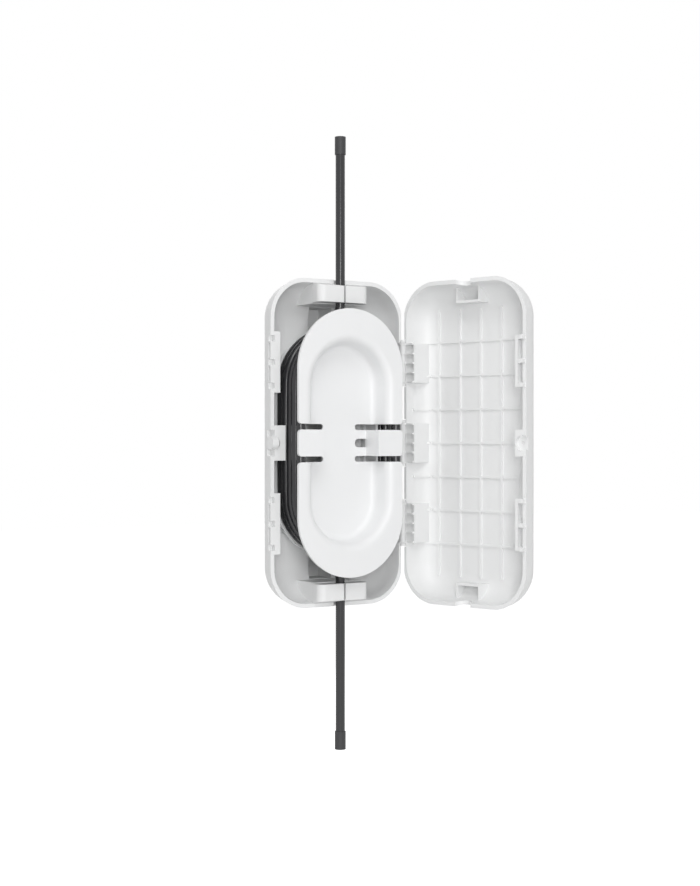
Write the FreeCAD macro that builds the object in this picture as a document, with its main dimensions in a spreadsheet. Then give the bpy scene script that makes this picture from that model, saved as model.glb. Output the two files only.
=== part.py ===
import FreeCAD, Part
import Sketcher
import math
import os

# Pole-mounted slack enclosure for fibre cable, shown open.
# Frame: X to the hinge side, Z up, the front faces -Y, and the pole's axis is the Z axis.
# Sketches are drawn in a case frame whose XZ plane is the parting plane of base and cover.

DIMENSIONS = [
    ("case_width", 104.0, "outside width of base and cover at the parting plane"),
    ("case_height", 220.0, "outside height at the parting plane"),
    ("corner_radius", 27.0, "corner radius of the outline"),
    ("wall", 2.8, "wall thickness of the mouldings"),
    ("draft_angle", 10.0, "slope of the side walls"),
    ("base_depth", 28.0, "outside depth of the base"),
    ("base_round", 24.0, "outside edge round at the back of the base"),
    ("cover_depth", 23.4, "outside depth of the cover"),
    ("cover_round", 20.0, "outside edge round at the front of the cover"),
    ("rim_gap", 0.3, "gap between the two rims when closed"),
    ("rim_to_pole", 68.6, "parting plane to the pole's axis"),
    ("pole_radius", 24.15, "outside radius of a 48.3 mm pole"),
    ("saddle_play", 0.1, "radial play of the saddle on the pole"),
    ("saddle_half", 20.5, "half width of the hollow of the saddle"),
    ("spine_half", 22.5, "half width of the spine behind the base"),
    ("spine_half_height", 95.0, "half height of the spine"),
    ("well_half", 8.85, "half width of the well inside the spine"),
    ("well_half_height", 93.0, "half height of the well"),
    ("well_depth", 41.5, "parting plane to the floor of the well"),
    ("strap_level", 60.0, "height of the strap slots above and below the middle"),
    ("strap_slot_height", 15.0, "height of a strap slot"),
    ("strap_slot_thick", 4.6, "thickness of a strap slot"),
    ("strap_slot_depth", 35.0, "parting plane to the middle of a strap slot"),
    ("hinge_reach", 0.3, "hinge axis outside the side of the case"),
    ("hinge_pitch", 55.3, "distance between hinges"),
    ("hinge_block", 27.2, "height of a hinge knuckle"),
    ("hinge_gap", 0.4, "end play between knuckle and lug"),
    ("hub_radius", 2.7, "outside radius of a knuckle rib"),
    ("sleeve_radius", 2.2, "outside radius of the knuckle's bored sleeve"),
    ("lug_radius", 2.4, "outside radius of a base lug"),
    ("lug_thick", 2.0, "thickness of a base lug"),
    ("pin_radius", 1.2, "radius of a hinge pin"),
    ("pin_play", 0.05, "radial running play of the knuckle on its pin"),
    ("knuckle_rib", 1.2, "thickness of a knuckle rib"),
    ("knuckle_pitch", 6.5, "distance between knuckle ribs"),
    ("open_angle", 106.0, "angle of the cover as it stands open"),
    ("latch_level", 53.3, "height of a latch's middle above and below the middle"),
    ("latch_pitch", 15.6, "distance between the latch arms"),
    ("latch_plate_height", 40.3, "height of a latch plate on the base"),
    ("latch_plate_edge", 44.7, "inner edge of a latch plate from the middle"),
    ("latch_notch", 4.0, "height and depth of a notch for a latch arm"),
    ("latch_arm", 2.7, "height of a latch arm"),
    ("latch_bar", 2.0, "thickness of the bar that joins the latch arms"),
    ("catch_height", 9.8, "height of a catch window between two notches"),
    ("lock_plate_edge", 40.7, "inner edge of the lock plate from the middle"),
    ("lock_plate_half", 11.6, "half height of the lock plate"),
    ("lock_peg_radius", 4.45, "radius of the round lock peg"),
    ("lock_peg_back", 1.5, "lock peg's axis behind the parting plane"),
    ("lock_play", 0.4, "play round the lock peg"),
    ("cable_radius", 3.2, "radius of the cable"),
    ("cable_front", 2.7, "cable's axis in front of the parting plane"),
    ("gland_half", 19.3, "half width of a cable gland"),
    ("gland_front", 8.7, "front of a cable gland from the parting plane"),
    ("gland_low", 94.2, "inner end of a cable gland from the middle"),
    ("gland_slit", 1.6, "width of the gland's slit"),
    ("gland_back", 2.0, "back of a cable gland behind the parting plane"),
    ("seat_level", 93.5, "inner face of a gland seat from the middle"),
    ("seat_half", 18.8, "half width of a gland seat"),
    ("rib_pitch_up", 23.2, "distance between the cover's level ribs"),
    ("rib_pitch_across", 17.8, "distance between the cover's upright ribs"),
    ("rib_reach", 48.5, "half length of the cover's level ribs"),
    ("rib_thick", 1.5, "thickness of the cover's ribs"),
    ("rib_height", 1.3, "height of the cover's ribs"),
    ("flange_half", 40.6, "half width of the reel's front flange"),
    ("flange_half_height", 89.6, "half height of the reel's front flange"),
    ("flange_front", 17.3, "front of the reel from the parting plane"),
    ("flange_thick", 2.0, "thickness of the reel's flange"),
    ("dish_half", 29.6, "half width of the dish at its lip"),
    ("dish_half_height", 67.7, "half height of the dish at its lip"),
    ("dish_draft", 8.0, "slope of the dish's wall"),
    ("drum_half", 32.2, "half width of the drum that the cable is wound on"),
    ("drum_half_height", 68.9, "half height of the drum"),
    ("dish_floor", 1.2, "dish floor in front of the parting plane"),
    ("reel_wall", 1.6, "wall thickness of the reel"),
    ("lip_round", 5.8, "round of the dish's lip"),
    ("floor_round", 4.0, "round at the dish's floor"),
    ("slot_inner", 12.5, "inner end of the slots beside a tongue"),
    ("slot_low", 8.8, "lower edge of a slot from the middle"),
    ("slot_high", 12.7, "upper edge of a slot from the middle"),
    ("tongue_wall", 21.5, "upright wall of a tongue from the middle"),
    ("turns", 5, "turns of cable on the reel"),
    ("coil_shift", 1.3, "middle of the loose coil to the right of the drum's middle"),
    ("coil_lift", 1.1, "middle of the loose coil above the drum's middle"),
    ("coil_flat", 37.0, "half length of the coil's straight runs"),
    ("back_plate_half", 39.2, "half width of the reel's back plate"),
    ("back_plate_thick", 2.0, "thickness of the reel's back plate"),
    ("tail_start", 98.0, "start of a cable tail inside its gland, from the middle"),
    ("tail_end", 194.0, "end of a cable tail from the middle"),
    ("cap_length", 12.0, "length of a cable end cap"),
    ("cap_radius", 3.7, "radius of a cable end cap"),
]

COVER_DEPTH = "(dims.cover_depth - dims.rim_gap)"
HINGES = {"upper": 1, "middle": 0, "lower": -1}
ENDS = {"top": 1, "bottom": -1}
RIB_ROWS = range(-3, 4)
RIB_COLUMNS = range(-2, 3)
KNUCKLE_RIBS = range(-2, 3)
KNUCKLE_GAPS = (-1.5, -0.5, 0.5, 1.5)
LATCH_ARMS = (-1, 0, 1)
LATCH_GAPS = (-0.5, 0.5)

# from a gland in one bend to the left, to where the cable lies along its turn of the coil:
# distance to the right of the middle, in front of the parting plane, and up
LEADS = {
    "cable_lead_in": [(0, 2.7, 98), (0, 2.7, 90.6), (-2.0, 1.5, 83.8), (-5.8, 0.4, 77.7), (-11.1, -0.8, 73.0),
                      (-17.8, -0.8, 69.8)],
    "cable_lead_out": [(0, 2.7, -98), (0, 2.7, -90.3), (-2.1, 3.7, -82.7), (-6.3, 4.6, -76.0), (-12.0, 5.6, -70.6),
                       (-18.9, 5.6, -67.1)],
}


def make_sheet(doc):
    # one row for each driving dimension
    sheet = doc.addObject("Spreadsheet::Sheet", "dims")
    for row, (alias, value, note) in enumerate(DIMENSIONS, start=1):
        sheet.set(f"A{row}", note)
        sheet.set(f"B{row}", str(value))
        sheet.setAlias(f"B{row}", alias)
    doc.recompute()
    return sheet


def new_body(doc, name):
    body = doc.addObject("PartDesign::Body", name)
    body.Label = name
    return body


def new_sketch(body, name, role, offset=None):
    # a sketch on one of the body's own planes, moved along that plane's normal
    sketch = body.newObject("Sketcher::SketchObject", name)
    plane = next(item for item in body.Origin.OriginFeatures if item.Role == role)
    sketch.AttachmentSupport = (plane, [""])
    sketch.MapMode = "FlatFace"
    if offset is not None:
        sketch.setExpression("AttachmentOffset.Base.z", offset)
    return sketch


def bind(sketch, constraint, label, expression):
    index = sketch.addConstraint(constraint)
    sketch.renameConstraint(index, label)
    sketch.setExpression(f"Constraints.{label}", expression)


def draw_rectangle(sketch, left, right, bottom, top):
    # an upright rectangle whose four sides are bound to expressions
    first = sketch.GeometryCount
    corners = [FreeCAD.Vector(x, y, 0) for x, y in ((-1, -1), (1, -1), (1, 1), (-1, 1))]
    for index in range(4):
        sketch.addGeometry(Part.LineSegment(corners[index], corners[(index + 1) % 4]))
    for index in range(4):
        following = first + (index + 1) % 4
        sketch.addConstraint(Sketcher.Constraint("Coincident", first + index, 2, following, 1))
    for index, kind in enumerate(("Horizontal", "Vertical", "Horizontal", "Vertical")):
        sketch.addConstraint(Sketcher.Constraint(kind, first + index))
    bind(sketch, Sketcher.Constraint("DistanceX", -1, 1, first, 1, -1), f"left{first}", left)
    bind(sketch, Sketcher.Constraint("DistanceX", -1, 1, first, 2, 1), f"right{first}", right)
    bind(sketch, Sketcher.Constraint("DistanceY", -1, 1, first, 1, -1), f"bottom{first}", bottom)
    bind(sketch, Sketcher.Constraint("DistanceY", -1, 1, first + 2, 1, 1), f"top{first}", top)


def draw_circle(sketch, across, up, radius):
    first = sketch.GeometryCount
    sketch.addGeometry(Part.Circle(FreeCAD.Vector(1, 1, 0), FreeCAD.Vector(0, 0, 1), 1))
    bind(sketch, Sketcher.Constraint("DistanceX", -1, 1, first, 3, 1), f"across{first}", across)
    bind(sketch, Sketcher.Constraint("DistanceY", -1, 1, first, 3, 1), f"up{first}", up)
    bind(sketch, Sketcher.Constraint("Radius", first, 1), f"radius{first}", radius)


def draw_polygon(sketch, points):
    # a closed polygon whose corners are pairs of expressions, with a rough first guess on a circle
    count = len(points)
    guesses = []
    for index in range(count):
        turn = 2 * math.pi * index / count
        guesses.append(FreeCAD.Vector(math.cos(turn), math.sin(turn), 0))
    for index in range(count):
        sketch.addGeometry(Part.LineSegment(guesses[index], guesses[(index + 1) % count]))
    for index in range(count):
        sketch.addConstraint(Sketcher.Constraint("Coincident", index, 2, (index + 1) % count, 1))
    for index, (across, up) in enumerate(points):
        guess = guesses[index]
        bind(sketch, Sketcher.Constraint("DistanceX", -1, 1, index, 1, guess.x), f"across{index}", across)
        bind(sketch, Sketcher.Constraint("DistanceY", -1, 1, index, 1, guess.y), f"up{index}", up)


def draw_rounded(sketch, half_width, half_height, radius, guess):
    # a rectangle about the origin with four equal tangent corner arcs
    wide, high, turn = guess
    flat_x = wide - turn
    flat_y = high - turn
    sides = [((-flat_x, -high), (flat_x, -high)), ((wide, -flat_y), (wide, flat_y)),
             ((flat_x, high), (-flat_x, high)), ((-wide, flat_y), (-wide, -flat_y))]
    for start, end in sides:
        sketch.addGeometry(Part.LineSegment(FreeCAD.Vector(*start, 0), FreeCAD.Vector(*end, 0)))
    centres = [(flat_x, -flat_y), (flat_x, flat_y), (-flat_x, flat_y), (-flat_x, -flat_y)]
    for index, centre in enumerate(centres):
        circle = Part.Circle(FreeCAD.Vector(*centre, 0), FreeCAD.Vector(0, 0, 1), turn)
        start_angle = math.pi / 2 * (index - 1)
        sketch.addGeometry(Part.ArcOfCircle(circle, start_angle, start_angle + math.pi / 2))
    for index in range(4):
        sketch.addConstraint(Sketcher.Constraint("Tangent", index, 2, 4 + index, 1))
        sketch.addConstraint(Sketcher.Constraint("Tangent", 4 + index, 2, (index + 1) % 4, 1))
    for index, kind in enumerate(("Horizontal", "Vertical", "Horizontal", "Vertical")):
        sketch.addConstraint(Sketcher.Constraint(kind, index))
    for index in (5, 6, 7):
        sketch.addConstraint(Sketcher.Constraint("Equal", 4, index))
    bind(sketch, Sketcher.Constraint("Radius", 4, turn), "radius", radius)
    bind(sketch, Sketcher.Constraint("DistanceX", -1, 1, 1, 1, wide), "right", half_width)
    bind(sketch, Sketcher.Constraint("DistanceX", 3, 1, -1, 1, wide), "left", half_width)
    bind(sketch, Sketcher.Constraint("DistanceY", -1, 1, 2, 1, high), "top", half_height)
    bind(sketch, Sketcher.Constraint("DistanceY", 0, 1, -1, 1, high), "bottom", half_height)


def draw_stadium(sketch, half_width, half_height, guess):
    # two upright sides joined by half circles, about the origin
    wide, high = guess
    flat = high - wide
    sketch.addGeometry(Part.LineSegment(FreeCAD.Vector(wide, -flat, 0), FreeCAD.Vector(wide, flat, 0)))
    upper = Part.Circle(FreeCAD.Vector(0, flat, 0), FreeCAD.Vector(0, 0, 1), wide)
    sketch.addGeometry(Part.ArcOfCircle(upper, 0, math.pi))
    sketch.addGeometry(Part.LineSegment(FreeCAD.Vector(-wide, flat, 0), FreeCAD.Vector(-wide, -flat, 0)))
    lower = Part.Circle(FreeCAD.Vector(0, -flat, 0), FreeCAD.Vector(0, 0, 1), wide)
    sketch.addGeometry(Part.ArcOfCircle(lower, math.pi, 2 * math.pi))
    for index in range(4):
        sketch.addConstraint(Sketcher.Constraint("Tangent", index, 2, (index + 1) % 4, 1))
    sketch.addConstraint(Sketcher.Constraint("Equal", 1, 3))
    for arc in (1, 3):
        sketch.addConstraint(Sketcher.Constraint("PointOnObject", arc, 3, -2))
    bind(sketch, Sketcher.Constraint("Radius", 1, wide), "radius", half_width)
    bind(sketch, Sketcher.Constraint("DistanceY", -1, 1, 1, 3, flat), "upper", f"{half_height} - {half_width}")
    bind(sketch, Sketcher.Constraint("DistanceY", 3, 3, -1, 1, flat), "lower", f"{half_height} - {half_width}")


def pad(body, sketch, name, length, reverse=False, symmetric=False, taper=None):
    feature = body.newObject("PartDesign::Pad", name)
    feature.Profile = sketch
    feature.setExpression("Length", length)
    feature.Reversed = reverse
    if symmetric:
        feature.SideType = "Symmetric"
    if taper is not None:
        feature.setExpression("TaperAngle", taper)
    return feature


def pocket(body, sketch, name, length, reverse=False, symmetric=False):
    feature = body.newObject("PartDesign::Pocket", name)
    feature.Profile = sketch
    feature.setExpression("Length", length)
    feature.Reversed = reverse
    if symmetric:
        feature.SideType = "Symmetric"
    return feature


def edges_where(feature, test):
    edges = enumerate(feature.Shape.Edges, start=1)
    return [f"Edge{index}" for index, edge in edges if test(edge.BoundBox)]


def fillet(body, name, feature, edges, radius):
    rounded = body.newObject("PartDesign::Fillet", name)
    rounded.Base = (feature, edges)
    rounded.setExpression("Radius", radius)
    return rounded


def at_level(level):
    # a test for edges and faces that lie in one plane parallel to the parting plane
    return lambda box: abs(box.YMin - level) < 0.01 and abs(box.YMax - level) < 0.01


def drafted_block(body, sheet, inset, depth, offset, back):
    # a block on the case outline, inset all round, whose walls lean inward
    outline = new_sketch(body, body.Name + "Outline", "XZ_Plane", offset)
    guess = (sheet.case_width / 2, sheet.case_height / 2, sheet.corner_radius)
    draw_rounded(outline, f"dims.case_width / 2 - ({inset})", f"dims.case_height / 2 - ({inset})",
                 f"dims.corner_radius - ({inset})", guess)
    return pad(body, outline, body.Name + "Block", depth, reverse=back, taper="-dims.draft_angle")


def round_far_edge(doc, body, name, feature, inset, radius, back):
    # rounds the edge of the face that lies the inset away from the far end of the feature
    doc.recompute()
    box = feature.Shape.BoundBox
    level = box.YMax - inset if back else box.YMin + inset
    return fillet(body, name, feature, edges_where(feature, at_level(level)), radius)


def moulded_shell(doc, body, sheet, depth, edge_round, offset, back):
    # a drafted tray of even wall: the inside is cut and rounded before the outside edge is rounded
    drafted_block(body, sheet, "0", depth, offset, back)
    outline = new_sketch(body, body.Name + "InsideOutline", "XZ_Plane", offset)
    guess = (sheet.case_width / 2 - sheet.wall, sheet.case_height / 2 - sheet.wall, sheet.corner_radius - sheet.wall)
    draw_rounded(outline, "dims.case_width / 2 - dims.wall", "dims.case_height / 2 - dims.wall",
                 "dims.corner_radius - dims.wall", guess)
    inside = pocket(body, outline, body.Name + "Inside", f"{depth} - dims.wall", reverse=not back)
    inside.setExpression("TaperAngle", "-dims.draft_angle")
    inner = round_far_edge(doc, body, body.Name + "InsideRound", inside, sheet.wall, f"{edge_round} - dims.wall", back)
    round_far_edge(doc, body, body.Name + "Round", inner, 0, edge_round, back)


def cavity(doc, sheet, name, inset, depth, edge_round, offset, back):
    # the inside of a moulding as a solid, made smaller than its outside by the inset
    body = new_body(doc, name)
    block = drafted_block(body, sheet, inset, f"{depth} - ({inset})", offset, back)
    round_far_edge(doc, body, name + "Round", block, 0, f"{edge_round} - ({inset})", back)
    return body


def hinge_axis():
    return "dims.case_width / 2 + dims.hinge_reach"


def base_spine(doc, body, sheet):
    # the spine behind the base ends in a hollow saddle that fits the pole
    profile = new_sketch(body, "SpineProfile", "XY_Plane")
    radius = sheet.pole_radius + sheet.saddle_play
    saddle = sheet.saddle_half
    rim = sheet.rim_to_pole - math.sqrt(radius ** 2 - saddle ** 2)
    half = sheet.spine_half
    floor = sheet.base_depth - sheet.wall
    corners = [(-saddle, rim), (-half, rim), (-half, floor), (half, floor), (half, rim), (saddle, rim)]
    for start, end in zip(corners, corners[1:]):
        profile.addGeometry(Part.LineSegment(FreeCAD.Vector(*start, 0), FreeCAD.Vector(*end, 0)))
    lift = math.atan2(sheet.rim_to_pole - rim, saddle)
    circle = Part.Circle(FreeCAD.Vector(0, sheet.rim_to_pole, 0), FreeCAD.Vector(0, 0, 1), radius)
    profile.addGeometry(Part.ArcOfCircle(circle, math.pi + lift, 2 * math.pi - lift))
    for index in range(4):
        profile.addConstraint(Sketcher.Constraint("Coincident", index, 2, index + 1, 1))
    profile.addConstraint(Sketcher.Constraint("Coincident", 4, 2, 5, 2))
    profile.addConstraint(Sketcher.Constraint("Coincident", 0, 1, 5, 1))
    for index, kind in enumerate(("Horizontal", "Vertical", "Horizontal", "Vertical", "Horizontal")):
        profile.addConstraint(Sketcher.Constraint(kind, index))
    profile.addConstraint(Sketcher.Constraint("PointOnObject", 5, 3, -2))
    bind(profile, Sketcher.Constraint("Radius", 5, radius), "saddle", "dims.pole_radius + dims.saddle_play")
    bind(profile, Sketcher.Constraint("DistanceY", -1, 1, 5, 3, sheet.rim_to_pole), "axis", "dims.rim_to_pole")
    bind(profile, Sketcher.Constraint("DistanceX", -1, 1, 4, 2, saddle), "mouth", "dims.saddle_half")
    bind(profile, Sketcher.Constraint("DistanceX", -1, 1, 2, 2, half), "right", "dims.spine_half")
    bind(profile, Sketcher.Constraint("DistanceX", 2, 1, -1, 1, half), "left", "dims.spine_half")
    bind(profile, Sketcher.Constraint("DistanceY", -1, 1, 2, 1, floor), "floor",
         "dims.base_depth - dims.wall + 0.1")
    pad(body, profile, "Spine", "2 * dims.spine_half_height", symmetric=True)
    well = new_sketch(body, "WellOutline", "XZ_Plane")
    draw_rectangle(well, "-dims.well_half", "dims.well_half", "-dims.well_half_height", "dims.well_half_height")
    pocket(body, well, "Well", "dims.well_depth")
    slots = new_sketch(body, "StrapSlots", "YZ_Plane")
    near = "dims.strap_slot_depth - dims.strap_slot_thick / 2"
    far = "dims.strap_slot_depth + dims.strap_slot_thick / 2"
    for side in ENDS.values():
        level = f"{side} * dims.strap_level"
        draw_rectangle(slots, near, far, f"{level} - dims.strap_slot_height / 2",
                       f"{level} + dims.strap_slot_height / 2")
    pocket(body, slots, "StrapSlotCut", "3 * dims.spine_half", symmetric=True)


def base_latches(body):
    # two latch plates on the left rim, with notches for the cover's arms and windows between them
    plates = new_sketch(body, "LatchPlates", "XZ_Plane")
    notches = new_sketch(body, "LatchNotches", "XZ_Plane")
    side_face = "-dims.case_width / 2"
    windows = new_sketch(body, "CatchWindows", "YZ_Plane", f"{side_face} - 1")
    for side in ENDS.values():
        level = f"{side} * dims.latch_level"
        draw_rectangle(plates, f"{side_face} + dims.wall / 2", "-dims.latch_plate_edge",
                       f"{level} - dims.latch_plate_height / 2", f"{level} + dims.latch_plate_height / 2")
        for arm in LATCH_ARMS:
            middle = f"{level} + {arm} * dims.latch_pitch"
            draw_rectangle(notches, f"{side_face} - 1", f"{side_face} + 3.3",
                           f"{middle} - dims.latch_notch / 2", f"{middle} + dims.latch_notch / 2")
        for gap in LATCH_GAPS:
            middle = f"{level} + {gap} * dims.latch_pitch"
            draw_rectangle(windows, "0.9", "4.2", f"{middle} - dims.catch_height / 2",
                           f"{middle} + dims.catch_height / 2")
    pad(body, plates, "LatchPlatePad", "1.5 * dims.latch_notch", reverse=True)
    pocket(body, notches, "LatchNotchCut", "dims.latch_notch")
    pocket(body, windows, "CatchWindowCut", "3.6", reverse=True)


def base_lock(body):
    # the lock plate at mid height, with a round peg and its tapered nose lying across the notched rim
    side_face = "-dims.case_width / 2"
    plate = new_sketch(body, "LockPlate", "XZ_Plane")
    draw_rectangle(plate, f"{side_face} + dims.wall / 2", "-dims.lock_plate_edge",
                   "-dims.lock_plate_half", "dims.lock_plate_half")
    pad(body, plate, "LockPlatePad", "1.5 * dims.latch_notch", reverse=True)
    notch = new_sketch(body, "LockNotch", "XZ_Plane")
    draw_rectangle(notch, f"{side_face} - 1", f"{side_face} + 3.2",
                   "3 - dims.lock_plate_half", "dims.lock_plate_half - 3")
    pocket(body, notch, "LockNotchCut", "dims.lock_peg_radius + dims.lock_peg_back + 0.5")
    peg = new_sketch(body, "LockPeg", "YZ_Plane", f"{side_face} + 0.3")
    draw_circle(peg, "dims.lock_peg_back", "0", "dims.lock_peg_radius")
    pad(body, peg, "LockPegPad", "dims.lock_peg_radius")
    nose = new_sketch(body, "LockPegNose", "YZ_Plane", f"{side_face} + 0.3 + dims.lock_peg_radius")
    draw_circle(nose, "dims.lock_peg_back", "0", "dims.lock_peg_radius")
    pad(body, nose, "LockPegNosePad", "dims.lock_peg_radius / 2", taper="-45")


def base_hinges(body):
    # a lug at each end of a hinge, a hollow between them for the knuckle, and a pin hole through both
    near = "(dims.hinge_block / 2 + dims.hinge_gap)"
    far = "(dims.hinge_block / 2 + dims.hinge_gap + dims.lug_thick)"
    webs = new_sketch(body, "LugWebs", "XZ_Plane")
    for side in HINGES.values():
        level = f"{side} * dims.hinge_pitch"
        draw_rectangle(webs, f"{hinge_axis()} - 1.2 * dims.lug_radius", "dims.case_width / 2",
                       f"{level} - {far}", f"{level} + {far}")
    pad(body, webs, "LugWebPad", "2 * dims.lug_radius", reverse=True)
    for name, side in HINGES.items():
        level = f"{side} * dims.hinge_pitch"
        eye = new_sketch(body, f"LugEye_{name}", "XY_Plane", f"{level} - {far}")
        draw_circle(eye, hinge_axis(), "0", "dims.lug_radius")
        pad(body, eye, f"LugEyePad_{name}", f"2 * {far}")
    for name, side in HINGES.items():
        hollow = new_sketch(body, f"KnuckleHollow_{name}", "XY_Plane", f"{side} * dims.hinge_pitch - {near}")
        draw_circle(hollow, hinge_axis(), "0", "dims.hub_radius + 0.5")
        pocket(body, hollow, f"KnuckleHollowCut_{name}", f"2 * {near}", reverse=True)
    bores = new_sketch(body, "PinBores", "XY_Plane")
    draw_circle(bores, hinge_axis(), "0", "dims.pin_radius")
    pocket(body, bores, "PinBoreCut", "dims.case_height", symmetric=True)


def cable_way(body, behind, radius):
    # a round way for the cable through both end walls
    way = new_sketch(body, body.Name + "CableWay", "XY_Plane")
    draw_circle(way, "0", behind, radius)
    pocket(body, way, body.Name + "CableWayCut", "1.2 * dims.case_height", symmetric=True)


def base_gland_seats(doc, sheet):
    # a block behind each gland, trimmed to the inside of the base
    blocks = new_body(doc, "GlandSeatBlocks")
    outline = new_sketch(blocks, "GlandSeats", "XZ_Plane", "-dims.gland_back - 0.05")
    draw_rectangle(outline, "-dims.seat_half", "dims.seat_half", "dims.seat_level", "dims.case_height / 2")
    draw_rectangle(outline, "-dims.seat_half", "dims.seat_half", "-dims.case_height / 2", "-dims.seat_level")
    pad(blocks, outline, "GlandSeatPad", "dims.base_depth - dims.gland_back", reverse=True)
    seats = doc.addObject("Part::Common", "GlandSeatsTrimmed")
    seats.Base = blocks
    seats.Tool = cavity(doc, sheet, "BaseInside", "dims.wall - 0.4", "dims.base_depth", "dims.base_round", "0", True)
    return seats


def build_base(doc, sheet):
    body = new_body(doc, "BaseMoulding")
    moulded_shell(doc, body, sheet, "dims.base_depth", "dims.base_round", "0", back=True)
    base_spine(doc, body, sheet)
    base_latches(body)
    base_lock(body)
    base_hinges(body)
    cable_way(body, "-dims.cable_front", "dims.cable_radius + 1.2")
    base = doc.addObject("Part::MultiFuse", "base_shell")
    base.Shapes = [body, base_gland_seats(doc, sheet)]
    base.Label = "base_shell"
    return base


def cover_latches(body):
    # an E-shaped frame at each latch: a bar, three arms and the arms' tongues
    side_face = "-dims.case_width / 2"
    bar_edge = "(1.5 - dims.latch_plate_edge)"
    bars = new_sketch(body, "LatchBars", "XZ_Plane", "dims.rim_gap")
    arms = new_sketch(body, "LatchArms", "XZ_Plane", "dims.rim_gap")
    tongues = new_sketch(body, "LatchTongues", "XZ_Plane", "2")
    for side in ENDS.values():
        level = f"{side} * dims.latch_level"
        reach = "(dims.latch_pitch + dims.latch_arm / 2)"
        draw_rectangle(bars, f"{bar_edge} - dims.latch_bar", bar_edge, f"{level} - {reach}", f"{level} + {reach}")
        for arm in LATCH_ARMS:
            low = f"{level} + {arm} * dims.latch_pitch - dims.latch_arm / 2"
            high = f"{level} + {arm} * dims.latch_pitch + dims.latch_arm / 2"
            draw_rectangle(arms, f"{side_face} + dims.wall / 2", f"{bar_edge} - dims.latch_bar / 2", low, high)
            draw_rectangle(tongues, f"{side_face} + 0.5", f"{side_face} + 2.9", low, high)
    pad(body, bars, "LatchBarPad", "4.2")
    pad(body, arms, "LatchArmPad", "4.2")
    pad(body, tongues, "LatchTonguePad", "0.8 * dims.latch_notch + 2", reverse=True)


def cover_lock(body):
    # the plate that closes over the lock peg, with its round recess and a shallow pilot mark
    side_face = "-dims.case_width / 2"
    plate = new_sketch(body, "LockPlate", "XZ_Plane", "dims.rim_gap")
    draw_rectangle(plate, f"{side_face} + dims.wall / 2", f"{side_face} + 9", "-8.75", "8.75")
    pad(body, plate, "LockPlatePad", "6.7")
    recess = new_sketch(body, "LockRecess", "XZ_Plane", "0")
    draw_circle(recess, f"{side_face} + 3.2", "0", "dims.lock_peg_radius + 2 * dims.lock_play")
    pocket(body, recess, "LockRecessCut", "dims.lock_peg_radius - dims.lock_peg_back + dims.lock_play", reverse=True)
    pilot = new_sketch(body, "PilotHole", "XZ_Plane", "0")
    draw_circle(pilot, f"{side_face} + 4.4", "0", "1.1")
    pocket(body, pilot, "PilotHoleCut", "4.2", reverse=True)


def cover_hinges(body):
    # hollows in the right rim for the lugs, with five ribs, a web and a bored sleeve at each hinge
    reach = "(dims.hinge_block / 2 + dims.hinge_gap + dims.lug_thick + 0.5)"
    for name, side in HINGES.items():
        hollow = new_sketch(body, f"LugHollow_{name}", "XY_Plane", f"{side} * dims.hinge_pitch - {reach}")
        draw_circle(hollow, hinge_axis(), "0", "dims.lug_radius + 0.5")
        pocket(body, hollow, f"LugHollowCut_{name}", f"2 * {reach}", reverse=True)
    arms = new_sketch(body, "KnuckleArms", "XZ_Plane", "dims.rim_gap + 0.1")
    webs = new_sketch(body, "KnuckleWebs", "XZ_Plane", "3.3")
    gaps = new_sketch(body, "KnuckleGaps", "XZ_Plane", "dims.hub_radius + 1")
    gap_half = "(dims.knuckle_pitch - dims.knuckle_rib) / 2"
    for name, side in HINGES.items():
        level = f"{side} * dims.hinge_pitch"
        eye = new_sketch(body, f"KnuckleEye_{name}", "XY_Plane", f"{level} - dims.hinge_block / 2")
        draw_circle(eye, hinge_axis(), "0", "dims.hub_radius")
        pad(body, eye, f"KnuckleEyePad_{name}", "dims.hinge_block")
        for rib in KNUCKLE_RIBS:
            middle = f"{level} + {rib} * dims.knuckle_pitch"
            draw_rectangle(arms, f"{hinge_axis()} - 8.6", hinge_axis(), f"{middle} - dims.knuckle_rib / 2",
                           f"{middle} + dims.knuckle_rib / 2")
        for gap in KNUCKLE_GAPS:
            middle = f"{level} + {gap} * dims.knuckle_pitch"
            draw_rectangle(gaps, f"{hinge_axis()} - dims.hub_radius - 1", f"{hinge_axis()} + 2 * dims.hub_radius",
                           f"{middle} - {gap_half}", f"{middle} + {gap_half}")
        draw_rectangle(webs, f"{hinge_axis()} - 8.6", hinge_axis(), f"{level} - dims.hinge_block / 2",
                       f"{level} + dims.hinge_block / 2")
    pocket(body, gaps, "KnuckleGapCut", "2 * dims.hub_radius + 2")
    pad(body, arms, "KnuckleArmPad", "3.8")
    pad(body, webs, "KnuckleWebPad", "0.9")
    for name, side in HINGES.items():
        sleeve = new_sketch(body, f"Sleeve_{name}", "XY_Plane", f"{side} * dims.hinge_pitch - dims.hinge_block / 2")
        draw_circle(sleeve, hinge_axis(), "0", "dims.sleeve_radius")
        pad(body, sleeve, f"SleevePad_{name}", "dims.hinge_block")
    bores = new_sketch(body, "PinBores", "XY_Plane")
    draw_circle(bores, hinge_axis(), "0", "dims.pin_radius + dims.pin_play")
    pocket(body, bores, "PinBoreCut", "dims.case_height", symmetric=True)


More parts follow.
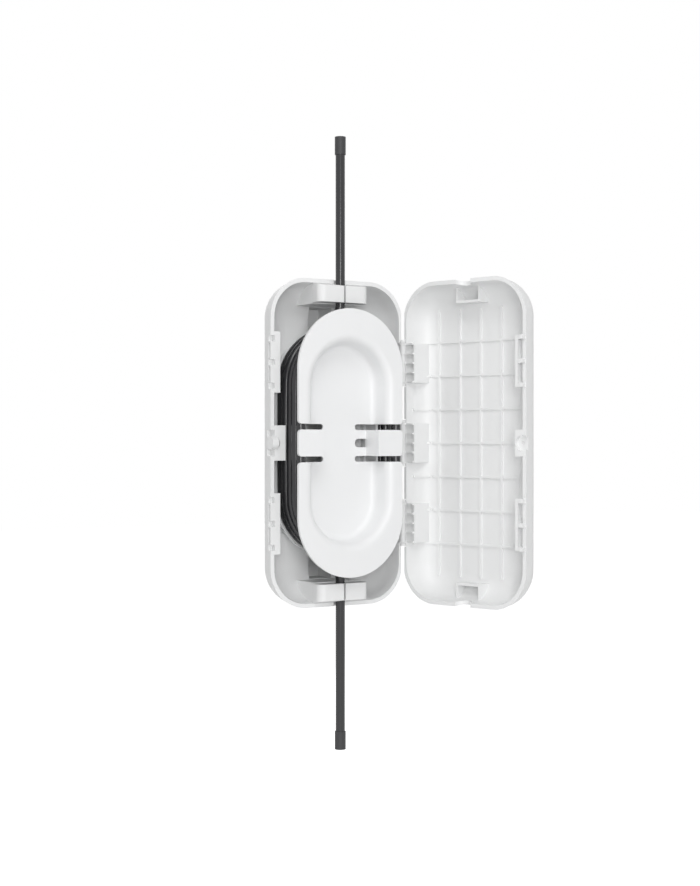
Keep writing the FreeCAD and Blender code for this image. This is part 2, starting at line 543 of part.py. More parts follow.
def cover_ribs(doc, sheet, outer):
    # a straight grid of ribs, cleared for the reel and kept only in a thin skin on the dome
    inner = cavity(doc, sheet, "CoverInsideLow", "dims.wall + dims.rib_height", COVER_DEPTH, "dims.cover_round",
                   "dims.rim_gap", False)
    skin = doc.addObject("Part::Cut", "RibSkin")
    skin.Base = outer
    skin.Tool = inner
    grid = new_body(doc, "RibGrid")
    rows = new_sketch(grid, "RibRows", "XZ_Plane", "6")
    for row in RIB_ROWS:
        draw_rectangle(rows, "-dims.rib_reach", "dims.rib_reach",
                       f"{row} * dims.rib_pitch_up - dims.rib_thick / 2",
                       f"{row} * dims.rib_pitch_up + dims.rib_thick / 2")
    pad(grid, rows, "RibRowPad", "dims.cover_depth - 6")
    columns = new_sketch(grid, "RibColumns", "XZ_Plane", "11")
    for column in RIB_COLUMNS:
        draw_rectangle(columns, f"{column} * dims.rib_pitch_across - dims.rib_thick / 2",
                       f"{column} * dims.rib_pitch_across + dims.rib_thick / 2",
                       "18 - dims.case_height / 2", "dims.case_height / 2 - 18")
    pad(grid, columns, "RibColumnPad", "dims.cover_depth - 11")
    clearance = new_sketch(grid, "ReelClearance", "XZ_Plane")
    draw_stadium(clearance, "(dims.flange_half + 0.5)", "(dims.flange_half_height + 0.5)",
                 (sheet.flange_half, sheet.flange_half_height))
    pocket(grid, clearance, "ReelClearanceCut", "dims.flange_front + 0.3", reverse=True)
    ribs = doc.addObject("Part::Common", "CoverRibs")
    ribs.Base = grid
    ribs.Tool = skin
    return ribs


def cover_fittings(doc, outer):
    # a pad behind each knuckle and a bracket in front of each gland, trimmed to the inside
    blocks = new_body(doc, "CoverFittingBlocks")
    for name, side in HINGES.items():
        pads = new_sketch(blocks, f"HingePad_{name}", "XY_Plane",
                          f"{side} * dims.hinge_pitch - dims.hinge_block / 2")
        draw_polygon(pads, [(f"{hinge_axis()} - 9", "-1.9"), (f"{hinge_axis()} - 10.6", "-dims.cover_depth"),
                            (hinge_axis(), "-dims.cover_depth"), (hinge_axis(), "-3.4"),
                            (f"{hinge_axis()} - 7.8", "-3.4"), (f"{hinge_axis()} - 7.8", "-1.9")])
        pad(blocks, pads, f"HingePadBlock_{name}", "dims.hinge_block")
    brackets = new_sketch(blocks, "Brackets", "XZ_Plane", "dims.gland_front + 0.3")
    for end in ENDS.values():
        low, high = sorted((end * 95.0, end * 108.5))
        draw_rectangle(brackets, "-7.5", "12.5", f"{low}", f"{high}")
        low, high = sorted((end * 96.6, end * 107.5))
        draw_rectangle(brackets, "-6.2", "11.2", f"{low}", f"{high}")
    pad(blocks, brackets, "BracketPad", "dims.cover_depth - dims.gland_front - 0.3")
    trimmed = doc.addObject("Part::Common", "CoverFittings")
    trimmed.Base = blocks
    trimmed.Tool = outer
    return trimmed


def build_cover(doc, sheet):
    body = new_body(doc, "CoverMoulding")
    moulded_shell(doc, body, sheet, COVER_DEPTH, "dims.cover_round", "dims.rim_gap", back=False)
    cover_latches(body)
    cover_lock(body)
    cover_hinges(body)
    cable_way(body, "0", "2 * dims.cable_radius")
    outer = cavity(doc, sheet, "CoverInside", "dims.wall - 0.4", COVER_DEPTH, "dims.cover_round", "dims.rim_gap", False)
    cover = doc.addObject("Part::MultiFuse", "cover_shell")
    cover.Shapes = [body, cover_ribs(doc, sheet, outer), cover_fittings(doc, outer)]
    cover.Label = "cover_shell"
    return cover


def build_reel_front(doc, sheet):
    # the dished front of the reel: flange, drum wall, dish floor and two spring tongues
    body = new_body(doc, "reel_front")
    dish_guess = (sheet.dish_half, sheet.dish_half_height)
    drum_guess = (sheet.drum_half, sheet.drum_half_height)
    drum = new_sketch(body, "DrumOutline", "XZ_Plane", "dims.flange_front - 1")
    draw_stadium(drum, "dims.drum_half", "dims.drum_half_height", drum_guess)
    drum_length = "2 * dims.turns * dims.cable_radius + dims.flange_thick - 1 + 0.3"
    pad(body, drum, "Drum", drum_length, reverse=True)
    flange = new_sketch(body, "FlangeOutline", "XZ_Plane", "dims.flange_front - dims.flange_thick")
    draw_stadium(flange, "dims.flange_half", "dims.flange_half_height",
                 (sheet.flange_half, sheet.flange_half_height))
    pad(body, flange, "Flange", "dims.flange_thick")
    dish = new_sketch(body, "DishOutline", "XZ_Plane", "dims.flange_front")
    draw_stadium(dish, "dims.dish_half", "dims.dish_half_height", dish_guess)
    front_cut = pocket(body, dish, "Dish", "dims.flange_front - dims.dish_floor")
    front_cut.setExpression("TaperAngle", "-dims.dish_draft")
    doc.recompute()
    lip = edges_where(front_cut, lambda box: at_level(-sheet.flange_front)(box) and box.XLength < 70
                      and box.XMax < sheet.dish_half + 0.1 and box.XMin > -sheet.dish_half - 0.1)
    rounded = fillet(body, "LipRound", front_cut, lip, "dims.lip_round")
    doc.recompute()
    floor_edges = edges_where(rounded, lambda box: at_level(-sheet.dish_floor)(box))
    fillet(body, "FloorRound", rounded, floor_edges, "dims.floor_round")
    back = new_sketch(body, "DrumInside", "XZ_Plane", "dims.dish_floor - dims.reel_wall")
    draw_stadium(back, "(dims.drum_half - dims.reel_wall)", "(dims.drum_half_height - dims.reel_wall)", drum_guess)
    pocket(body, back, "DrumHollow", "2 * dims.turns * dims.cable_radius")
    window = new_sketch(body, "TongueWindows", "XZ_Plane", "dims.flange_front + 1")
    for side in (1, -1):
        edges = sorted([(side * 1, f"{side} * dims.slot_inner"), (side * 9, f"{side} * (dims.flange_half + 1)")])
        draw_rectangle(window, edges[0][1], edges[1][1], "-dims.slot_high", "dims.slot_high")
    pocket(body, window, "TongueWindowCut", "dims.flange_front + 1 - dims.dish_floor + dims.reel_wall")
    for name, side in (("left", -1), ("right", 1)):
        tongue = new_sketch(body, f"Tongue_{name}", "XZ_Plane", "dims.flange_front - dims.flange_thick")
        riser = new_sketch(body, f"TongueRiser_{name}", "XZ_Plane", "dims.dish_floor - dims.reel_wall")
        foot = new_sketch(body, f"TongueFoot_{name}", "XZ_Plane", "dims.dish_floor - dims.reel_wall")
        tip = f"{side} * dims.flange_half"
        near = f"{side} * dims.tongue_wall"
        far = f"{side} * (dims.tongue_wall + dims.reel_wall)"
        root = f"{side} * (dims.slot_inner - 0.5)"
        for sketch, inside, outside in ((tongue, near, tip), (riser, near, far), (foot, root, far)):
            left, right = (inside, outside) if side > 0 else (outside, inside)
            draw_rectangle(sketch, left, right, "-dims.slot_low", "dims.slot_low")
        pad(body, foot, f"TongueFootPad_{name}", "dims.reel_wall")
        pad(body, riser, f"TongueRiserPad_{name}", "dims.flange_front - dims.dish_floor + dims.reel_wall")
        pad(body, tongue, f"TonguePad_{name}", "dims.flange_thick")
    holes = new_sketch(body, "FloorHoles", "XZ_Plane", "dims.dish_floor + 1")
    for side in (1, -1):
        near = f"{side} * dims.slot_inner"
        far = f"{side} * dims.tongue_wall"
        left, right = (near, far) if side > 0 else (far, near)
        draw_rectangle(holes, left, right, "-2.9", "2.9")
    floor_cut = pocket(body, holes, "FloorHoleCut", "dims.reel_wall + 2")
    doc.recompute()
    tips = edges_where(floor_cut, lambda box: box.YLength > 1.5 and box.XLength < 0.01 and box.ZLength < 0.01
                       and abs(box.XMax) > sheet.drum_half + 3)
    tip_round = fillet(body, "TipRound", floor_cut, tips, "2.5")
    doc.recompute()
    ends = edges_where(tip_round, lambda box: box.YLength > 1 and box.XLength < 0.01 and box.ZLength < 0.01
                       and abs(abs(box.XMax) - sheet.slot_inner) < 0.01 and abs(box.ZMax) > sheet.slot_low - 0.1)
    slot_round = fillet(body, "SlotRound", tip_round, ends, "1.8")
    doc.recompute()
    corners = edges_where(slot_round, lambda box: box.YLength > 1 and box.XLength < 0.01 and box.ZLength < 0.01
                          and abs(abs(box.XMax) - sheet.slot_inner) < 0.01 and abs(box.ZMax) < 3)
    fillet(body, "HoleRound", slot_round, corners, "2.7")
    return body


def build_reel_back(doc, sheet):
    # the back plate of the reel: a ring that plugs into the drum, and four feet on the base's floor
    body = new_body(doc, "reel_back")
    inside = "dims.drum_half - dims.reel_wall"
    inside_height = "dims.drum_half_height - dims.reel_wall"
    half_height = "(dims.drum_half_height - dims.drum_half + dims.back_plate_half)"
    front = "dims.flange_front - dims.flange_thick - 2 * dims.turns * dims.cable_radius - 0.3"
    plate = new_sketch(body, "PlateOutline", "XZ_Plane", front)
    draw_stadium(plate, "dims.back_plate_half", half_height, (sheet.back_plate_half, 78))
    pad(body, plate, "Plate", "dims.back_plate_thick", reverse=True)
    ring = new_sketch(body, "RingOutline", "XZ_Plane", front)
    draw_stadium(ring, f"({inside} - 0.3)", f"({inside_height} - 0.3)", (sheet.drum_half, 68))
    pad(body, ring, "Ring", "4")
    hole = new_sketch(body, "PlateHole", "XZ_Plane", f"{front} + 5")
    draw_stadium(hole, f"({inside} - 2.2)", f"({inside_height} - 2.2)", (sheet.drum_half, 68))
    pocket(body, hole, "PlateHoleCut", "5")
    window = new_sketch(body, "PlateWindow", "XZ_Plane", f"{front} + 5")
    draw_stadium(window, f"({inside} - 16)", f"({inside_height} - 16)", (sheet.drum_half, 68))
    pocket(body, window, "PlateWindowCut", "8")
    feet = new_sketch(body, "Feet", "XZ_Plane", f"{front} - dims.back_plate_thick")
    for side in (1, -1):
        for end in (1, -1):
            draw_circle(feet, f"{side} * 21", f"{end} * 45", "4")
    pad(body, feet, "FootPads", f"dims.base_depth - dims.wall + {front} - dims.back_plate_thick", reverse=True)
    return body


def build_gland(doc, name, end):
    # a rubber block with the cable's bore and a slit to its front
    body = new_body(doc, name)
    profile = new_sketch(body, name + "Profile", "YZ_Plane")
    points = [("-dims.gland_front", "dims.gland_low"), ("dims.gland_back", "dims.gland_low"),
              ("dims.gland_back", "106.7"), ("0", "107.05"), ("-dims.gland_front", "105.3")]
    draw_polygon(profile, [(back, f"{end} * ({up})") for back, up in points])
    block = pad(body, profile, name + "Block", "2 * dims.gland_half", symmetric=True)
    doc.recompute()
    front = block.Shape.BoundBox.YMin
    corners = edges_where(block, lambda box: at_level(front)(box) and box.XLength < 0.01)
    fillet(body, name + "Round", block, corners, "5")
    bore = new_sketch(body, name + "Bore", "XY_Plane")
    draw_circle(bore, "0", "-dims.cable_front", "dims.cable_radius + 0.05")
    pocket(body, bore, name + "BoreCut", "dims.case_height", symmetric=True)
    slit = new_sketch(body, name + "Slit", "XY_Plane")
    draw_rectangle(slit, "-dims.gland_slit / 2", "dims.gland_slit / 2", "-dims.gland_front - 1", "-dims.cable_front")
    pocket(body, slit, name + "SlitCut", "dims.case_height", symmetric=True)
    return body


def build_pin(doc, name, side):
    pin = doc.addObject("Part::Cylinder", name)
    pin.Label = name
    pin.setExpression("Radius", "dims.pin_radius")
    pin.setExpression("Height", "dims.hinge_block + 2 * (dims.hinge_gap + dims.lug_thick)")
    pin.setExpression("Placement.Base.x", hinge_axis())
    pin.setExpression("Placement.Base.y", "-dims.rim_to_pole")
    pin.setExpression("Placement.Base.z", f"{side} * dims.hinge_pitch - dims.hinge_block / 2"
                      " - dims.hinge_gap - dims.lug_thick")
    return pin


def build_rod(doc, name, radius, start, length):
    # a straight upright rod on the cable's line
    rod = doc.addObject("Part::Cylinder", name)
    rod.Label = name
    rod.setExpression("Radius", radius)
    rod.setExpression("Height", length)
    rod.setExpression("Placement.Base.y", "-dims.rim_to_pole - dims.cable_front")
    rod.setExpression("Placement.Base.z", start)
    return rod


def case_point(sheet, across, front, up):
    # a point given from the case's middle, in front of the parting plane
    return FreeCAD.Vector(across, -sheet.rim_to_pole - front, up)


def coil_section(sheet):
    # the cut through the wound turns on the right of the coil's middle, drawn in the level plane
    radius = sheet.cable_radius
    inner = sheet.drum_half + sheet.coil_shift + 0.25
    middle = inner + radius
    front = sheet.flange_front - sheet.flange_thick - 0.1
    back = front - 2 * radius * sheet.turns
    edges = [Part.LineSegment(case_point(sheet, middle, back, 0), case_point(sheet, inner, back, 0)),
             Part.LineSegment(case_point(sheet, inner, back, 0), case_point(sheet, inner, front, 0)),
             Part.LineSegment(case_point(sheet, inner, front, 0), case_point(sheet, middle, front, 0))]
    for turn in range(int(sheet.turns)):
        near = front - 2 * radius * turn
        edges.append(Part.Arc(case_point(sheet, middle, near, 0), case_point(sheet, middle + radius, near - radius, 0),
                              case_point(sheet, middle, near - 2 * radius, 0)))
    return Part.Face(Part.Wire([edge.toShape() for edge in edges]))


def build_coil(doc, sheet):
    # the loose turns on the reel as one solid: two straight runs and two half rings
    flat = sheet.coil_flat
    section = coil_section(sheet)
    right = section.translated(FreeCAD.Vector(0, 0, -flat)).extrude(FreeCAD.Vector(0, 0, 2 * flat))
    axis_point = case_point(sheet, 0, 0, 0)
    left = right.rotated(axis_point, FreeCAD.Vector(0, 1, 0), 180)
    shape = right.fuse(left)
    for end in (1, -1):
        centre = case_point(sheet, 0, 0, end * flat)
        lifted = section.translated(FreeCAD.Vector(0, 0, end * flat))
        shape = shape.fuse(lifted.revolve(centre, FreeCAD.Vector(0, -1, 0), end * 180))
    coil = doc.addObject("Part::Feature", "cable_coil")
    coil.Label = "cable_coil"
    coil.Shape = shape.removeSplitter().translated(FreeCAD.Vector(sheet.coil_shift, 0, sheet.coil_lift))
    return coil


def tube(points, radius):
    # a round tube along straight runs joined by tangent arcs, as large as the runs allow
    runs = [(points[i + 1] - points[i]).Length for i in range(len(points) - 1)]
    edges = []
    start = points[0]
    for index in range(1, len(points) - 1):
        before = (points[index - 1] - points[index]).normalize()
        after = (points[index + 1] - points[index]).normalize()
        half_turn = (math.pi - before.getAngle(after)) / 2
        reach = 0.45 * min(runs[index - 1], runs[index])
        bend = reach / math.tan(half_turn)
        print(f"bend radius {bend:.1f} mm")
        first = points[index] + before * reach
        last = points[index] + after * reach
        inward = (before + after).normalize()
        middle = points[index] + inward * (bend / math.cos(half_turn) - bend)
        edges.append(Part.LineSegment(start, first).toShape())
        edges.append(Part.Arc(first, middle, last).toShape())
        start = last
    edges.append(Part.LineSegment(start, points[-1]).toShape())
    path = Part.Wire(edges)
    ring = Part.Wire(Part.Circle(points[0], points[1] - points[0], radius).toShape())
    return path.makePipeShell([ring], True, True), path.Length


def build_lead(doc, sheet, name, points):
    route = [case_point(sheet, *point) for point in points]
    shape, length = tube(route, sheet.cable_radius)
    expected = math.pi * sheet.cable_radius ** 2 * length
    print(f"{name}: length {length:.1f} mm, volume against section times length {shape.Volume / expected:.4f}")
    lead = doc.addObject("Part::Feature", name)
    lead.Label = name
    lead.Shape = shape
    return lead


def place(sheet, part, turn=0.0):
    # from the case frame to the pole's frame, turned about the hinge axis
    hinge = FreeCAD.Vector(sheet.case_width / 2 + sheet.hinge_reach, 0, 0)
    swing = FreeCAD.Placement(FreeCAD.Vector(), FreeCAD.Rotation(FreeCAD.Vector(0, 0, 1), turn), hinge)
    shift = FreeCAD.Placement(FreeCAD.Vector(0, -sheet.rim_to_pole, 0), FreeCAD.Rotation())
    part.Placement = shift.multiply(swing)


def check(doc, parts):
    for item in doc.Objects:
        if "Invalid" in item.State or "Error" in item.State:
            raise RuntimeError(f"{item.Name} failed: {item.State}")
    for part in parts:
        if part.Shape.isNull() or not part.Shape.isValid():
            raise RuntimeError(f"{part.Label} has no valid shape")


def main():
    os.makedirs("parts", exist_ok=True)
    doc = FreeCAD.newDocument("fibre_cable_enclosure")
    sheet = make_sheet(doc)
    base = build_base(doc, sheet)
    cover = build_cover(doc, sheet)
    reel = [build_reel_front(doc, sheet), build_reel_back(doc, sheet)]
    glands = [build_gland(doc, f"gland_{name}", end) for name, end in ENDS.items()]
    pins = [build_pin(doc, f"hinge_pin_{name}", side) for name, side in HINGES.items()]
    coil = build_coil(doc, sheet)
    leads = [build_lead(doc, sheet, name, points) for name, points in LEADS.items()]
    reach = "dims.tail_end - dims.tail_start"
    tails = [build_rod(doc, "cable_tail_top", "dims.cable_radius", "dims.tail_start", reach),
             build_rod(doc, "cable_tail_bottom", "dims.cable_radius", "-dims.tail_end", reach),
             build_rod(doc, "cable_cap_top", "dims.cap_radius", "dims.tail_end", "dims.cap_length"),
             build_rod(doc, "cable_cap_bottom", "dims.cap_radius", "-dims.tail_end - dims.cap_length",
                       "dims.cap_length")]
    for part in [base] + reel + glands:
        place(sheet, part)
    place(sheet, cover, sheet.open_angle)
    doc.recompute()
    parts = [base, cover] + reel + glands + pins + [coil] + leads + tails
    check(doc, parts)
    for part in parts:
        box = part.Shape.BoundBox
        print(f"{part.Label}: {len(part.Shape.Solids)} solid, {part.Shape.Volume / 1000:.2f} cm3, "
              f"X {box.XMin:.1f} {box.XMax:.1f} Y {box.YMin:.1f} {box.YMax:.1f} Z {box.ZMin:.1f} {box.ZMax:.1f}")
        part.Shape.exportStep(f"parts/{part.Label}.step")


main()
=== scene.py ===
import math

import bpy
from bpy.props import FloatProperty, FloatVectorProperty, PointerProperty
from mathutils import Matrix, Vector


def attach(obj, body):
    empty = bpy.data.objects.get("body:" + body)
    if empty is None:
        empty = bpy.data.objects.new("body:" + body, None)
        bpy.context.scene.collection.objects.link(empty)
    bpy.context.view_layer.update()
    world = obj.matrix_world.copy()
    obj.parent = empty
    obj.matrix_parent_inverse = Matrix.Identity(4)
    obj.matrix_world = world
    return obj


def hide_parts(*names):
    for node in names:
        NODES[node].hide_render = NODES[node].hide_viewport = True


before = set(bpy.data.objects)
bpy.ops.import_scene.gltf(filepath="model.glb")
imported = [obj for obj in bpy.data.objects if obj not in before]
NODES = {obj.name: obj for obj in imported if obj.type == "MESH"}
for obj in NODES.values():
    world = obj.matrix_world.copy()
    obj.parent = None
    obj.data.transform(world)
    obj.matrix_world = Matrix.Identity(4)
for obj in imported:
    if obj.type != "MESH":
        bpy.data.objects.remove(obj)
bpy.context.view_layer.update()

bl_info = {
    "name": "Fibre Cable Enclosure",
    "version": (1, 0, 0),
    "blender": (4, 5, 0),
    "location": "3D View > Sidebar > Enclosure",
    "description": "Dresses the solids of a pole-mounted fibre cable enclosure",
    "category": "Object",
}

IMAGE_HEIGHT = 886
SENSOR_SIDE = 36.0

# The parting plane of base and cover, and the cable's line through the glands, along the frame's Y in metres.
RIM_Y = -0.0686
CABLE_Y = RIM_Y - 0.0027

# Route of each lead from its gland to the coil: across, in front of the parting plane, up, in millimetres.
LEAD_IN_ROUTE = [
    (0.0, 2.7, 106.8), (0.0, 2.7, 98.0), (0.0, 2.7, 90.6), (-2.0, 1.5, 83.8), (-5.8, 0.4, 77.7),
    (-11.1, -0.8, 73.0), (-17.8, -0.8, 69.8),
]
LEAD_OUT_ROUTE = [
    (-18.9, 5.6, -67.1), (-12.0, 5.6, -70.6), (-6.3, 4.6, -76.0), (-2.1, 3.7, -82.7), (0.0, 2.7, -90.3),
    (0.0, 2.7, -98.0), (0.0, 2.7, -106.8),
]
# The winding as it goes round the reel: angle from the right in degrees, row in front of the parting plane, and how
# far outside the tightest turn it lies, in millimetres. Its third turn crosses over the others to the front row.
WINDING = [
    (135, -0.8, 0.1), (360, -0.8, 0.4), (450, -7.2, 0.5), (720, -7.2, 0.2), (810, -13.6, 0.0), (1035, -13.6, 0.0),
    (1080, -13.6, 4.5), (1107, -8.1, 7.0), (1143, 6.5, 7.0), (1157, 9.2, 6.6), (1170, 12.0, 5.0), (1215, 12.0, 1.5),
    (1260, 12.0, 0.4), (1440, 12.0, 0.3), (1530, 5.6, 0.7), (1665, 5.6, 0.4),
]
POINTS_PER_BEND = 16
CURVE_STEPS = 6
ROUNDNESS = 6

# Spacing of shader nodes in the editor, and the height of the surface grain in metres.
NODE_STEP = (220, 180)
GRAIN_HEIGHT = 0.0001

# Half the floor's side, its pale grey, the distances from the frame's origin over which it fades to white,
# and how much it shines to the camera before and after the fade.
FLOOR_REACH = 6.0
FLOOR_GREY = 0.85
FADE_START = 0.42
FADE_END = 0.62
GLOW_UNDER_PART = 0.24
GLOW_FAR_OFF = 0.7

# The point that all lamps face.
LAMP_AIM = (0.03, -0.08, 0.0)


class CableSettings(bpy.types.PropertyGroup):
    """Sizes of the cable and of its turns on the reel."""

    radius: FloatProperty(
        name="Radius", description="Outside radius of the cable", default=0.0032, unit="LENGTH")
    bend: FloatProperty(
        name="Coil bend", description="Radius of the cable's middle line round the reel's ends",
        default=0.03695, unit="LENGTH")
    flat: FloatProperty(
        name="Coil straight", description="Half length of the coil's straight runs", default=0.037, unit="LENGTH")
    shift: FloatProperty(
        name="Coil shift", description="Middle of the loose coil to the right of the reel", default=0.0013,
        unit="LENGTH")
    lift: FloatProperty(
        name="Coil lift", description="Middle of the loose coil above the reel", default=0.0011, unit="LENGTH")
    wound_length: FloatProperty(
        name="Wound length", description="Length of cable from gland to gland", default=1.788, unit="LENGTH")
    gland_end: FloatProperty(
        name="Gland end", description="Outer face of a gland from the middle", default=0.1068, unit="LENGTH")
    tail_end: FloatProperty(
        name="Tail end", description="End of a cable tail from the middle", default=0.194, unit="LENGTH")
    colour: FloatVectorProperty(
        name="Jacket colour", description="Colour of the cable's jacket", subtype="COLOR",
        default=(0.02, 0.02, 0.022))


class FinishSettings(bpy.types.PropertyGroup):
    """Colours and surface of the mouldings."""

    box_colour: FloatVectorProperty(
        name="Box colour", description="Colour of base and cover", subtype="COLOR", default=(0.86, 0.865, 0.865))
    reel_colour: FloatVectorProperty(
        name="Reel colour", description="Colour of the reel", subtype="COLOR", default=(0.86, 0.865, 0.87))
    gland_colour: FloatVectorProperty(
        name="Gland colour", description="Colour of the rubber glands", subtype="COLOR", default=(0.84, 0.845, 0.845))
    cap_colour: FloatVectorProperty(
        name="Cap colour", description="Colour of the caps on the cable's ends", subtype="COLOR",
        default=(0.03, 0.03, 0.032))
    grain_scale: FloatProperty(
        name="Grain scale", description="Grains of the moulded surface per metre", default=2600.0)


class StageSettings(bpy.types.PropertyGroup):
    """Camera and light of the studio."""

    azimuth: FloatProperty(
        name="Azimuth", description="Angle of the camera round the upright axis", subtype="ANGLE",
        default=math.radians(-31.8))
    eye_x: FloatProperty(name="Eye across", description="Camera's place along X", default=-0.5267, unit="LENGTH")
    eye_y: FloatProperty(name="Eye depth", description="Camera's place along Y", default=-0.9332, unit="LENGTH")
    focal_pixels: FloatProperty(
        name="Focal length", description="Focal length of the camera in picture pixels", default=1500.0)
    floor_level: FloatProperty(
        name="Floor level", description="Height of the studio floor", default=-0.42, unit="LENGTH")
    key_power: FloatProperty(name="Key light", description="Power of the soft front light", default=3.9, unit="POWER")
    top_power: FloatProperty(name="Top light", description="Power of the soft light above", default=5.1, unit="POWER")
    back_power: FloatProperty(name="Back light", description="Power of the light behind", default=3.4, unit="POWER")
    sky_level: FloatProperty(name="Sky level", description="Strength of the even light all round", default=0.48)


def cable_settings():
    return bpy.context.scene.enclosure_cable


def finish_settings():
    return bpy.context.scene.enclosure_finish


def stage_settings():
    return bpy.context.scene.enclosure_stage


def add_node(tree, kind, place, **values):
    # one shader node at a place on the grid, with some of its inputs set
    node = tree.nodes.new(kind)
    node.location = (place[0] * NODE_STEP[0], place[1] * NODE_STEP[1])
    for name, value in values.items():
        node.inputs[name.replace("_", " ")].default_value = value
    return node


def moulded_grain_group():
    # fine spark-eroded grain and slow flow marks of an injection moulding
    found = bpy.data.node_groups.get("Moulded grain")
    if found:
        return found
    group = bpy.data.node_groups.new("Moulded grain", "ShaderNodeTree")
    group.interface.new_socket("Vector", in_out="INPUT", socket_type="NodeSocketVector")
    group.interface.new_socket("Grain Scale", in_out="INPUT", socket_type="NodeSocketFloat")
    group.interface.new_socket("Height", in_out="OUTPUT", socket_type="NodeSocketFloat")
    group.interface.new_socket("Flow", in_out="OUTPUT", socket_type="NodeSocketFloat")
    source = add_node(group, "NodeGroupInput", (-3, 0))
    result = add_node(group, "NodeGroupOutput", (2, 0))
    grain = add_node(group, "ShaderNodeTexNoise", (-1, 1), Detail=3.0, Roughness=0.6)
    flow = add_node(group, "ShaderNodeTexNoise", (-1, -1), Scale=28.0, Detail=4.0, Roughness=0.55)
    group.links.new(source.outputs["Vector"], grain.inputs["Vector"])
    group.links.new(source.outputs["Grain Scale"], grain.inputs["Scale"])
    group.links.new(source.outputs["Vector"], flow.inputs["Vector"])
    group.links.new(grain.outputs["Fac"], result.inputs["Height"])
    group.links.new(flow.outputs["Fac"], result.inputs["Flow"])
    return group


def surface_material(name, colour, shade, roughness, polish, grain_scale, grain_depth):
    # colour drifts between two shades and roughness between two levels, over a fine grain
    material = bpy.data.materials.new(name)
    material.use_nodes = True
    tree = material.node_tree
    shader = tree.nodes["Principled BSDF"]
    place = add_node(tree, "ShaderNodeTexCoord", (-6, 0))
    grain = add_node(tree, "ShaderNodeGroup", (-4, 0))
    grain.node_tree = moulded_grain_group()
    grain.inputs["Grain Scale"].default_value = grain_scale
    tree.links.new(place.outputs["Object"], grain.inputs["Vector"])
    tint = add_node(tree, "ShaderNodeMix", (-2, 1))
    tint.data_type = "RGBA"
    tint.inputs["A"].default_value = (*colour, 1.0)
    tint.inputs["B"].default_value = (*[part * shade for part in colour], 1.0)
    tree.links.new(grain.outputs["Flow"], tint.inputs["Factor"])
    tree.links.new(tint.outputs["Result"], shader.inputs["Base Color"])
    level = add_node(tree, "ShaderNodeMapRange", (-2, 0), To_Min=polish, To_Max=roughness)
    tree.links.new(grain.outputs["Flow"], level.inputs["Value"])
    tree.links.new(level.outputs["Result"], shader.inputs["Roughness"])
    bump = add_node(tree, "ShaderNodeBump", (-2, -1), Strength=grain_depth, Distance=GRAIN_HEIGHT)
    tree.links.new(grain.outputs["Height"], bump.inputs["Height"])
    tree.links.new(bump.outputs["Normal"], shader.inputs["Normal"])
    return material


def dress(node_name, material):
    # gives one solid its only material
    node = NODES[node_name]
    node.data.materials.clear()
    node.data.materials.append(material)


def in_frame(point):
    # a point given in millimetres from the enclosure's middle, as a point of the frame in metres
    across, front, up = point
    return Vector((across / 1000, RIM_Y - front / 1000, up / 1000))


def smooth_spline(curve, points):
    # one open smooth line that has the points as its control points
    spline = curve.splines.new("NURBS")
    spline.points.add(len(points) - 1)
    for point, place in zip(spline.points, points):
        point.co = (*place, 1.0)
    spline.order_u = 3
    spline.use_endpoint_u = True
    spline.resolution_u = CURVE_STEPS


def cable_curve(name):
    # an empty round curve with the cable's radius, linked to the scene
    curve = bpy.data.curves.new(name, "CURVE")
    curve.dimensions = "3D"
    curve.bevel_depth = cable_settings().radius
    curve.bevel_resolution = ROUNDNESS
    curve.use_fill_caps = True
    piece = bpy.data.objects.new(name, curve)
    bpy.context.scene.collection.objects.link(piece)
    return piece


def winding_at(angle):
    # row and looseness at an angle, between the stations before and after it
    for (first, row, loose), (last, next_row, next_loose) in zip(WINDING, WINDING[1:]):
        if angle <= last:
            share = (angle - first) / (last - first)
            return row + share * (next_row - row), loose + share * (next_loose - loose)
    raise ValueError("the winding ends before this angle")


def reel_ends(angle):
    # the ends of the reel that the cable is at: both where it runs straight along a side
    if angle % 360 == 0:
        return (-1, 1)
    if angle % 360 == 180:
        return (1, -1)
    return (1,) if angle % 360 < 180 else (-1,)


def winding_points():
    # control points of all turns: half rings round the reel's ends, joined by straight runs along its sides
    settings = cable_settings()
    step = 180 / POINTS_PER_BEND
    outside = 2 / (1 + math.cos(math.radians(step / 2)))
    points = []
    for index in range(round((WINDING[-1][0] - WINDING[0][0]) / step) + 1):
        angle = WINDING[0][0] + step * index
        row, loose = winding_at(angle)
        bend = outside * (settings.bend + loose / 1000)
        across = settings.shift + bend * math.cos(math.radians(angle))
        up = settings.lift + bend * math.sin(math.radians(angle))
        for end in reel_ends(angle):
            points.append(Vector((across, RIM_Y - row / 1000, up + end * settings.flat)))
    return points


def jacket_material():
    # one glossy black jacket, shared by all runs of the cable
    found = bpy.data.materials.get("Cable jacket")
    if found:
        return found
    return surface_material(
        "Cable jacket", cable_settings().colour, shade=1.4, roughness=0.25, polish=0.16, grain_scale=900.0,
        grain_depth=0.1)


class ENCLOSURE_OT_wound_cable(bpy.types.Operator):
    """Winds the cable on the reel and leads it to both glands"""

    bl_idname = "enclosure.wound_cable"
    bl_label = "Wound Cable"

    def execute(self, context):
        coil = cable_curve("wound_cable")
        lead_in = [in_frame(point) for point in LEAD_IN_ROUTE]
        lead_out = [in_frame(point) for point in LEAD_OUT_ROUTE]
        smooth_spline(coil.data, lead_in + winding_points() + lead_out)
        coil.data.materials.append(jacket_material())
        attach(coil, "base")
        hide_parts("cable_coil", "cable_lead_in", "cable_lead_out")
        return {"FINISHED"}


